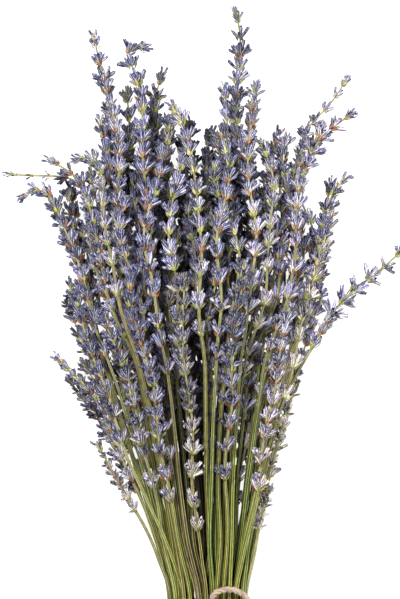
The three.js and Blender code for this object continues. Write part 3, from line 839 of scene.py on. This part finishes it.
def grow_stem(growth, path, along, foot, turn, sway, tone):
    """A square stem with grooved sides. Below its foot it is bare, above it the spike thins out."""
    line_points = rounded(path, along)
    stops = np.linspace(0, along[-1], len(line_points))
    waves = np.sin(stops / SWAY_LENGTH * 2 * math.pi + 9 * tone)
    line_points[:, 0] += sway * np.clip((stops - foot + 30) / 50, 0, 1) * waves
    rows, marks = [], []
    for k, (point, stop) in enumerate(zip(line_points, stops)):
        bleach_and_light = bleach_and_light_at(point)
        ahead = line_points[min(k + 1, len(stops) - 1)] - line_points[max(k - 1, 0)]
        side, up = axes_of(ahead / np.linalg.norm(ahead))
        width = mix(LOW_WIDTH, NECK_WIDTH, clamp(stop / foot, 0, 1))
        if stop > foot:
            to_tip = (stop - foot) / (along[-1] - foot)
            width = mix(NECK_WIDTH, TIP_WIDTH, clamp(to_tip * 1.3, 0, 1))
        for i in range(STEM_SIDES):
            angle = turn + i * 2 * math.pi / STEM_SIDES
            radius = width * (EDGE if i % 2 == 0 else GROOVE)
            rows.append(point + side * radius * math.cos(angle) + up * radius * math.sin(angle))
            marks.append((stop / along[-1], float(i % 2 == 0), tone, bleach_and_light))
    growth.add(np.array(rows), tube_faces(len(stops), STEM_SIDES), np.array(marks), STEM)
    return line_points, stops


# %% A ring of cups with its scales
def outwards(way, angle):
    side, up = axes_of(way)
    return side * math.cos(angle) + up * math.sin(angle)


def leaning(way, out, lean, aside=0.0):
    """Axes for a copy that leans from the stem's way towards out, by the angle lean."""
    around = np.cross(way, out)
    point = way * math.cos(lean) + out * math.sin(lean) + around * aside
    point /= np.linalg.norm(point)
    across_it = np.cross(around, point)
    across_it /= np.linalg.norm(across_it)
    return np.cross(point, across_it), across_it, point


FOOT_OUT = 0.6  # from the stem's middle to a cup's foot
CLOSED_SHARE, WITHERED_SHARE = 0.55, 0.4
FAN = 2.7  # the angle that the cups of one side share


def grow_cup(growth, place, way, out, size, lean, tone, loose, rng):
    sprig_fading = growth.fading
    growth.fading = clamp(sprig_fading + rng.uniform(-0.3, 0.3), 0, 1)
    axes = leaning(way, out, lean, rng.uniform(-0.4, 0.4))
    base = place + out * FOOT_OUT + way * rng.uniform(-1.0, 1.3) * loose
    closed = rng.random() < CLOSED_SHARE
    own_tone = clamp(tone + rng.uniform(-0.32, 0.28), 0, 1)
    growth.place(bud if closed else cup, base, axes, size, own_tone, CUP)
    if not closed and rng.random() < WITHERED_SHARE:
        growth.place(petal, base + axes[2] * size * 6.7, axes, size * 0.8, rng.random(), PETAL)
    growth.fading = sprig_fading


def grow_ring(growth, place, way, turn, ring, tone, rust, rng):
    """Two clusters of cups on opposite sides, each over a leafy scale, with thin scales between."""
    spread, size, loose = ring["spread"], ring["size"], ring["loose"]
    for side in (0, math.pi):
        count = ring["cups"] // 2 + (side > 0) * (ring["cups"] % 2)
        for i in range(count):
            aside = (i - (count - 1) / 2) * FAN / count + rng.uniform(-0.45, 0.45)
            copy_size = size * rng.uniform(0.72, 1.04)
            to_mouth = spread * rng.uniform(0.8 - 0.4 * loose, 1.2) - FOOT_OUT - 0.6 * size
            lean = math.asin(clamp(to_mouth / (CUP_LENGTH * copy_size), 0.1, 0.9))
            out = outwards(way, turn + side + aside)
            grow_cup(growth, place, way, out, copy_size, lean, tone, loose, rng)
        out = outwards(way, turn + side + rng.uniform(-0.4, 0.4))
        colour = rng.uniform(0.66, 1) if rust else rng.uniform(0, 0.62)
        axes = leaning(way, out, rng.uniform(0.4, 0.8))
        base = place + out * 0.3 - way * 0.9
        growth.place(scale, base, axes, size * rng.uniform(0.7, 1.1), colour, SCALE)
    for i in range(ring["upright"]):
        out = outwards(way, rng.uniform(0, 2 * math.pi))
        lean = rng.uniform(0.1, 0.4)
        raised = place + way * rng.uniform(0.2, 1.8)
        grow_cup(growth, raised, way, out, size * rng.uniform(0.7, 0.95), lean, tone, loose, rng)
    for i in range(3):
        out = outwards(way, turn + math.pi * 2 / 3 * i + rng.uniform(0, 2))
        across_it, thick, point = leaning(way, out, rng.uniform(0.25, 0.75))
        colour = rng.uniform(0.64, 1) if rust and rng.random() < 0.7 else rng.uniform(0.3, 0.64)
        axes = (across_it * 0.5, thick, point)
        base = place + out * 0.2 - way * 0.6
        growth.place(scale, base, axes, size * rng.uniform(0.8, 1.2), colour, SCALE)


# %% Where the rings sit on a sprig
RING_PITCH, REMOTE_PITCH = 8.8, 12.5
FREE_PITCH, LOW_FREE_PITCH = 8.2, 4.8


def ring_places(sprig, dense, free, rng):
    """Distances from the spike's foot: rings apart below it, close on it, loose on a free end."""
    apart = 3 if not sprig["shown"] else int(rng.random() < 0.6)
    if dense < 30:
        apart = 0
    places = [(-REMOTE_PITCH * (i + 1) + rng.uniform(-2, 2), "apart") for i in range(apart)]
    rings = max(3, round(dense / RING_PITCH / rng.uniform(0.84, 1.2)))
    for i in range(rings):
        places.append((dense * (i / rings) ** 0.78 + rng.uniform(-1.5, 1.5), "close"))
    pitch = LOW_FREE_PITCH if sprig["tip"] < 120 else FREE_PITCH
    if free > 4:
        places += [(dense + i * pitch, "loose") for i in range(int(free / pitch) + 1)]
    return places


# %% What one sprig's rings have in common
def character(sprig, points, rng):
    """Whether its scales are rust, how far it has faded, and its tone, with painted shade and light
    across the bunch.
    """
    k = int(np.searchsorted(Y, sprig["tip"])) - 1
    aside = (points[k, 0] - MIDDLE[k]) / WIDE[k]
    low_left = aside < -0.5 and sprig["tip"] < 160
    rusty = rng.random() < (0.9 if low_left else 0.45)
    fading = rng.uniform(0, 0.4) if rusty else rng.uniform(0.2, 1)
    tone = rng.uniform(0.2, 0.7)
    # painted shade: the left-hand side is the darkest
    tone -= 0.24 * clamp(-2 * aside - 1, 0, 1)  # the left-hand side is the darkest
    # painted light on the right-hand side
    tone += 0.06 * clamp(2 * aside, 0, 1)
    # painted shade in the middle of the bunch
    tone -= 0.1 * clamp(1.2 - 2 * abs(aside), 0, 1)
    return rusty, fading, tone


# %% Rings on a free end
LONG_END, LONGEST_END = 27, 40
BARE_RING = dict(spread=2.6, size=0.42, cups=2, upright=1, loose=0.1)


def free_ring(sprig, beyond, free):
    """A ring at a distance beyond the dense spike: smaller and with fewer cups towards the tip."""
    longest = free > LONGEST_END
    taper_from = 0.55 if longest else 0.4 if free > LONG_END else 0.05
    to_tip = clamp((beyond / free - taper_from) / (1 - taper_from), 0, 1)
    return dict(
        spread=(9.4 if longest else 6.2) * sprig["size"] * mix(1, 0.35, to_tip),
        size=sprig["size"] * mix(1.3 if longest else 1.0, 0.55, to_tip),
        cups=round(mix(11, 4, to_tip)), upright=round(mix(3, 1, to_tip)), loose=0.1)


# %% A whole sprig
PALE_BELOW = 140  # how far along the bunch the flowers start to be paler and more cream
LEAST_SPREAD = 4.6


def grow_sprig(growth, sprig, points, rng):
    path = sprig_path(sprig, points)
    along = lengths_along(path)
    dense = sprig["spike"]
    free = along[-1] - along[len(along) - 1 - len(sprig["end"])]
    spike = dense + free
    foot = along[-1] - spike
    sway = 1.2 if sprig["shown"] else 2.5
    turn = sprig["turn"]
    smooth, stops = grow_stem(growth, path, along, foot, turn, sway, rng.random())
    rusty, fading, sprig_tone = character(sprig, points, rng)
    bare_end = free > 0 and sprig["end"][-1][0] < -30
    for start, kind in ring_places(sprig, dense, free, rng):
        k = clamp((foot + start) / along[-1] * (len(stops) - 1), 0, len(stops) - 1.001)
        place = mix(smooth[int(k)], smooth[int(k) + 1], k % 1)
        way = smooth[int(k) + 1] - smooth[int(k)]
        way /= np.linalg.norm(way)
        t = clamp(start / spike, 0, 1)
        paler = mix(0.33, -0.2, t)
        ring = dict(
            spread=max(SPIKE_RADIUS * sprig["size"] * spike_shape(t), LEAST_SPREAD),
            size=clamp(sprig["size"] * mix(1.0, 0.85, t), 0.65, 1.05),
            cups=int(rng.integers(8, 12)), upright=4, loose=1.0)
        if kind == "loose":
            bare = bare_end and start - dense > 14
            ring = BARE_RING if bare else free_ring(sprig, start - dense, free)
            paler = 0.2 if free > LONGEST_END else 0.02
        elif kind == "apart":
            ring.update(size=ring["size"] * 0.95, cups=8, upright=1, loose=0.5)
        rust = rng.random() < (0.75 if rusty else 0.12)
        low_down = clamp((PALE_BELOW - place[1]) / 60, 0, 1)
        growth.fading = clamp(fading + 0.45 * low_down, 0, 1)
        tone = sprig_tone + paler + 0.08 * low_down + rng.uniform(-0.15, 0.15)
        grow_ring(growth, place, way, turn, ring, clamp(tone, 0, 0.85), rust, rng)
        turn += math.pi / 2 + rng.uniform(-0.7, 0.7)
    size = 0.4 if bare_end else 0.66
    last_buds = dict(spread=4 * size, size=size, cups=3, upright=2, loose=1)
    below_tip = smooth[-1] - way * 5.4 * size
    grow_ring(growth, below_tip, way, turn, last_buds, sprig_tone, False, rng)


# %% All the sprigs
def node_sprigs():
    """Each solid's name with the sprigs that it holds, in the order that the solids have."""
    count = 0
    for i in range(SPRIG_COUNT):
        other = partner.get(i)
        if other is not None and other < i:
            continue
        count += 1
        if other is None:
            yield f"sprig_{count:02d}", [i]
        else:
            yield f"sprig_pair_{count:02d}", [i, other]


pieces = []
most = 0.0
for name, members in node_sprigs():
    growth = Growth()
    for i in members:
        grow_sprig(growth, sprigs[i], line[i], np.random.default_rng([SEED, i]))
    piece = growth.as_piece("lavender_" + name, FINISHES)
    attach(piece, "root")
    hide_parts(name)
    pieces.append(piece)
    low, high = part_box(name)
    corners = np.array([v.co[:] for v in piece.data.vertices])
    most = max(most, np.abs(corners.min(0) - low).max(), np.abs(corners.max(0) - high).max())
print(len(pieces), "pieces, whose boxes differ from the solids' by", round(most / MM, 1), "mm")

# %% [markdown]
# ## Sprigs behind
# The real bunch has more sprigs than the solids can hold. Where the table would show through
# between them, we let more run among and behind the others: each leaves the twine beside its
# nearest neighbour and then goes its own way.

# %% The other sprigs
BEHIND = [  # four places above the twine as x, y, height, and the length that carries flowers
    (-47, 110, 21, -53, 140, 20, -59, 172, 17, -65, 203, 15, 78),
    (-38, 115, 12, -44, 150, 16, -49, 185, 20, -57, 212, 24, 60),
    (-26, 62, 6, -34.5, 84, 7, -42, 100, 9, -51, 126, 12, 58),
    (14.5, 62, 18, 17, 80, 19, 19.5, 100, 21, 23, 128, 24, 66),
    (20, 62, 6, 24, 80, 7, 28, 100, 9, 33, 122, 12, 58),
    (33, 90, 6, 40, 112, 6, 45, 130, 6, 50, 176, 6, 60),
    (-50, 120, 14, -59, 150, 13, -67, 176, 12, -76, 197, 12, 60),
    (-46, 95, 10, -54, 115, 10, -60, 132, 10, -69, 149, 9, 50),
    (-34, 74, 8, -44, 92, 9, -54, 106, 10, -62, 119, 10, 48),
    (31, 90, 14, 40, 112, 15, 47, 128, 15, 57, 149, 15, 56),
    (40, 120, 18, 46, 150, 18, 53, 182, 17, 61, 205, 16, 60),
    (34, 150, 22, 38, 190, 22, 41, 212, 21, 47, 230, 20, 56),
    (22, 150, 26, 26, 190, 26, 30, 212, 26, 34, 228, 26, 60),
    (20, 62, 12, 23.5, 100, 14, 28, 130, 15, 36, 165, 17, 80),
    (-22, 60, 5, -29, 84, 6, -36, 104, 7, -45, 132, 8, 56),
    (-36, 150, 16, -40, 190, 20, -43, 217, 22, -49, 249, 22, 70),
    (-22, 150, 20, -26, 190, 26, -29, 215, 28, -32, 240, 28, 60),
    (8, 150, 30, 9, 190, 34, 10, 215, 36, 13, 240, 36, 66),
    (-23, 60, 4, -32, 84, 5, -42, 110, 5, -50, 130, 6, 66),
    (-26, 60, 9, -37, 84, 10, -47, 108, 11, -55, 124, 12, 62),
    (-19, 60, 8, -26, 84, 9, -34, 110, 10, -43, 142, 12, 78),
    (24, 70, 8, 33, 110, 9, 39, 138, 9, 44, 165, 10, 80),
    (29, 90, 8, 37, 118, 9, 41, 150, 10, 42, 185, 12, 84),
    (27, 80, 20, 33, 104, 22, 36, 128, 24, 40, 158, 26, 70),
    (-22, 150, 24, -25, 190, 28, -26, 215, 30, -27, 244, 30, 56),
    (16, 150, 30, 19, 190, 34, 21, 220, 34, 22, 250, 33, 60),
    (-50, 120, 22, -57, 150, 22, -62, 176, 22, -66, 200, 20, 64),
    (-7, 150, 34, -7, 190, 38, -7, 215, 38, -8, 232, 36, 70),
    (40, 130, 22, 49, 158, 22, 57, 178, 20, 62, 192, 18, 56),
    (25, 50, 10, 32, 70, 12, 36.5, 84, 12, 40, 100, 12, 36),
    (34, 150, 20, 40, 190, 20, 46, 212, 20, 56, 232, 20, 50),
    (-48, 110, 16, -56, 128, 16, -64, 144, 15, -69, 156, 14, 40),
    (-38, 150, 28, -42, 190, 30, -45, 214, 30, -46, 228, 30, 50),
    (-3, 60, 10, -3.5, 90, 12, -3.5, 112, 13, -3, 136, 14, 46),
    (-32, 80, 8, -38, 105, 9, -43, 128, 10, -46, 150, 10, 50),
    (-42, 110, 10, -48, 132, 11, -54, 156, 12, -58, 178, 12, 56),
    (13.5, 45, 8, 15.5, 60, 9, 17.5, 75, 9, 22, 120, 12, 50),
    (-24, 70, 7, -29, 90, 8, -33, 106, 9, -37, 124, 10, 44),
]


def behind_points(path, number):
    """The path, carried on down beside the nearest sprig under the twine."""
    x, y, height = np.reshape(path, (-1, 3)).T
    at_twine = 2
    wanted = [x[0] * 0.5, TIE_HEIGHT - 0.6 * TIE_HALF_HEIGHT]
    nearest = np.argmin(np.linalg.norm(line[:, at_twine] - wanted, axis=1))
    beside = line[nearest] + [1.1 * math.cos(2.4 * number), -0.9 * abs(math.sin(2.4 * number))]
    y = [Y[at_twine], *y]
    own_x = np.interp(Y, y, [beside[at_twine, 0], *x])
    own_height = np.interp(Y, y, [beside[at_twine, 1], *height])
    return np.where(Y[:, None] > Y[at_twine], np.column_stack([own_x, own_height]), beside)


for i, (*path, spike) in enumerate(BEHIND):
    growth = Growth()
    tip = path[-2]
    sprig = dict(shown=True, tip=tip, spike=spike, size=0.9, end=[], turn=i, cut=Y[0] + 3)
    grow_sprig(growth, sprig, behind_points(path, i), np.random.default_rng([SEED, 500 + i]))
    piece = growth.as_piece(f"lavender_behind_{i + 1}", FINISHES)
    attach(piece, "root")
    pieces.append(piece)

# %% [markdown]
# ## The twine
# Jute twine is three strands twisted round each other, with loose fibres standing out all along.
# We run three tubes as helices round each path: three turns round the stems, two short wraps that
# make the knot, two bow loops and two loose ends. The loops and the ends lie free, so they are
# declared as cords with the length that their paths have.

# %% Paths of twine
STRAND_OFFSET, STRAND_RADIUS, TWIST = 0.66, 0.76, 8.5
BOW_TOP = 33.2
BOW = {  # each free part's far end, and its path from the knot as (x, y, height above it)
    "bow_loop_right": ("object", [
        (3, 0, 0), (1.8, 6, 0.6), (4, 10, 1.2), (9.5, 11.4, 1.4), (15, 10, 1),
        (19, 5.5, -0.4), (17, -0.5, -1), (10, -3, 0), (3.5, -0.5, 0)]),
    "bow_loop_left": ("object", [
        (2.5, 0, 0), (-4, 4, 0.4), (-11, 5.5, 0.4), (-17, 2.5, -0.8),
        (-17.5, -3, -1.4), (-11, -5.5, -0.6), (-4, -3.5, 0), (2.5, -0.5, 0)]),
    "loose_end_right": ("bare", [(3.5, -1, 0), (8, -9, -0.6), (12, -20, -0.4), (10.5, -38, 0.4)]),
    "loose_end_left": ("bare", [(2.5, -1, 0), (-3, -10, -0.6), (-3.5, -22, -0.2), (-9, -36, 0.4)]),
}


def curve_through(points, step=0.9):
    """A smooth path through points, a point every step."""
    points = np.array(points, dtype=float)
    padded = np.vstack([2 * points[0] - points[1], points, 2 * points[-1] - points[-2]])
    fine = []
    for k in range(len(points) - 1):
        a, b, c, d = padded[k:k + 4]
        for t in np.linspace(0, 1, 24, endpoint=False):
            fine.append(0.5 * (2 * b + (c - a) * t + (2 * a - 5 * b + 4 * c - d) * t ** 2
                               + (3 * b - a - 3 * c + d) * t ** 3))
    fine = np.array(fine + [points[-1]])
    far = lengths_along(fine)
    stops = np.linspace(0, far[-1], max(int(far[-1] / step), 8))
    return np.column_stack([np.interp(stops, far, fine[:, i]) for i in range(3)])


def ellipse_round(middle, first, second, count):
    """A closed path round a middle, between two half axes."""
    middle, first, second = np.array(middle), np.array(first), np.array(second)
    angles = np.arange(count) * 2 * math.pi / count - math.pi / 2
    return np.array([middle + first * math.cos(a) + second * math.sin(a) for a in angles])


# %% Three strands and their fibres
STRAND_SIDES = 7
FIBRES_PER_MM = 1.6
FIBRE_RADIUS = 0.07


def add_fibre(growth, middle, ahead, out, rng):
    """A thin three-sided spike that stands out of the twine and leans along it."""
    lean = ahead * rng.uniform(-1.6, 1.6) + np.cross(ahead, out) * rng.uniform(-0.8, 0.8)
    point = out + lean
    point /= np.linalg.norm(point)
    start = middle + out * 1.05
    tip = start + point * rng.uniform(0.9, 2.0)
    thick = np.cross(point, out + 0.3 * ahead)
    thick /= np.linalg.norm(thick) / FIBRE_RADIUS
    other = np.cross(point, thick)
    corners = [start + thick, start - 0.5 * thick + other, start - 0.5 * thick - other, tip]
    faces = [(0, 2, 1), (0, 1, 3), (1, 2, 3), (2, 0, 3)]
    growth.add(np.array(corners), faces, mark(np.tile([0.5, 1.0], (4, 1)), rng.random(), 1), 0)


def twist_strands(growth, path, closed, upright, rng):
    """Adds the strands of one length of twine. upright is a direction that it never takes."""
    far = lengths_along(path)
    total = far[-1] + (np.linalg.norm(path[0] - path[-1]) if closed else 0)
    turns = max(round(total / TWIST), 1)
    ahead = np.roll(path, -1, axis=0) - np.roll(path, 1, axis=0)
    if not closed:
        ahead[0], ahead[-1] = path[1] - path[0], path[-1] - path[-2]
    ahead /= np.linalg.norm(ahead, axis=1)[:, None]
    side = np.cross(upright, ahead)
    side /= np.linalg.norm(side, axis=1)[:, None]
    up = np.cross(ahead, side)
    for strand in range(3):
        angle = strand * 2 * math.pi / 3 + far / total * turns * 2 * math.pi
        out = side * np.cos(angle)[:, None] + up * np.sin(angle)[:, None]
        middle = path + out * STRAND_OFFSET
        radius = STRAND_RADIUS * (1 + 0.06 * np.sin(far * 2.1 + strand * 2))
        rows = []
        for i in range(STRAND_SIDES):
            a = i * 2 * math.pi / STRAND_SIDES
            rows.append(middle + (side * math.cos(a) + up * math.sin(a)) * radius[:, None])
        corners = np.stack(rows, 1).reshape(-1, 3)
        tone = rng.random()
        marks = np.column_stack([np.repeat(far / TWIST % 1, STRAND_SIDES), np.zeros(len(corners))])
        faces = tube_faces(len(path), STRAND_SIDES, closed)
        growth.add(corners, faces, mark(marks, tone, 1), 0)
    for _ in range(int(total * FIBRES_PER_MM)):
        k = rng.integers(1, len(path) - 1)
        a = rng.uniform(0, 2 * math.pi)
        add_fibre(growth, path[k], ahead[k], side[k] * math.cos(a) + up[k] * math.sin(a), rng)


# %% The twine's finish
def twine_finish():
    f = Finish("jute_twine", 0.85, sheen=0.3)
    colour = f.ramp(f.tone, [(0.0, (110, 92, 78)), (0.5, (140, 120, 104)), (1.0, (164, 145, 128))])
    colour = f.blend(f.times(f.rib, 0.5), colour, (190, 174, 158))
    return f.finish(colour, 1500, 0.6, 0.6)


TWINE = [twine_finish()]


# %% The turns with the knot, the loops and the loose ends
def twine_piece(name, paths, seed):
    """paths is a list of (path, closed, upright)."""
    growth = Growth()
    rng = np.random.default_rng([SEED, 900 + seed])
    for path, closed, upright in paths:
        twist_strands(growth, path, closed, upright, rng)
    piece = growth.as_piece(name, TWINE)
    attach(piece, "root")
    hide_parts("twine")
    pieces.append(piece)
    return piece


wide, high = (half + TIE_GAP + TWINE_RADIUS for half in (TIE_HALF_WIDTH, TIE_HALF_HEIGHT))
turns = [(ellipse_round((0, y, TIE_HEIGHT), (wide, 0, 0), (0, 0, high), 126), True, (0, 1, 0))
         for y in (-3, 0, 3)]
wraps = [(ellipse_round((x, 0, 32.3), (0, 3.2, 0), (0, 0, 1.5), 20), True, (1, 0, 0))
         for x in (1.7, 4.3)]
twine_piece("twine_turns", turns + wraps, 0)
for seed, (name, (far_end, points)) in enumerate(BOW.items()):
    path = curve_through([(x, y, z + BOW_TOP) for x, y, z in points])
    part = twine_piece(name, [(path, False, (0, 0, 1))], 1 + seed)

# %% Softly shaded
deselect()
for piece in pieces:
    piece.select_set(True)
bpy.context.view_layer.objects.active = pieces[0]
bpy.ops.object.shade_smooth_by_angle(angle=math.radians(50))
print(len(pieces), "pieces,", sum(len(p.data.polygons) for p in pieces), "faces")
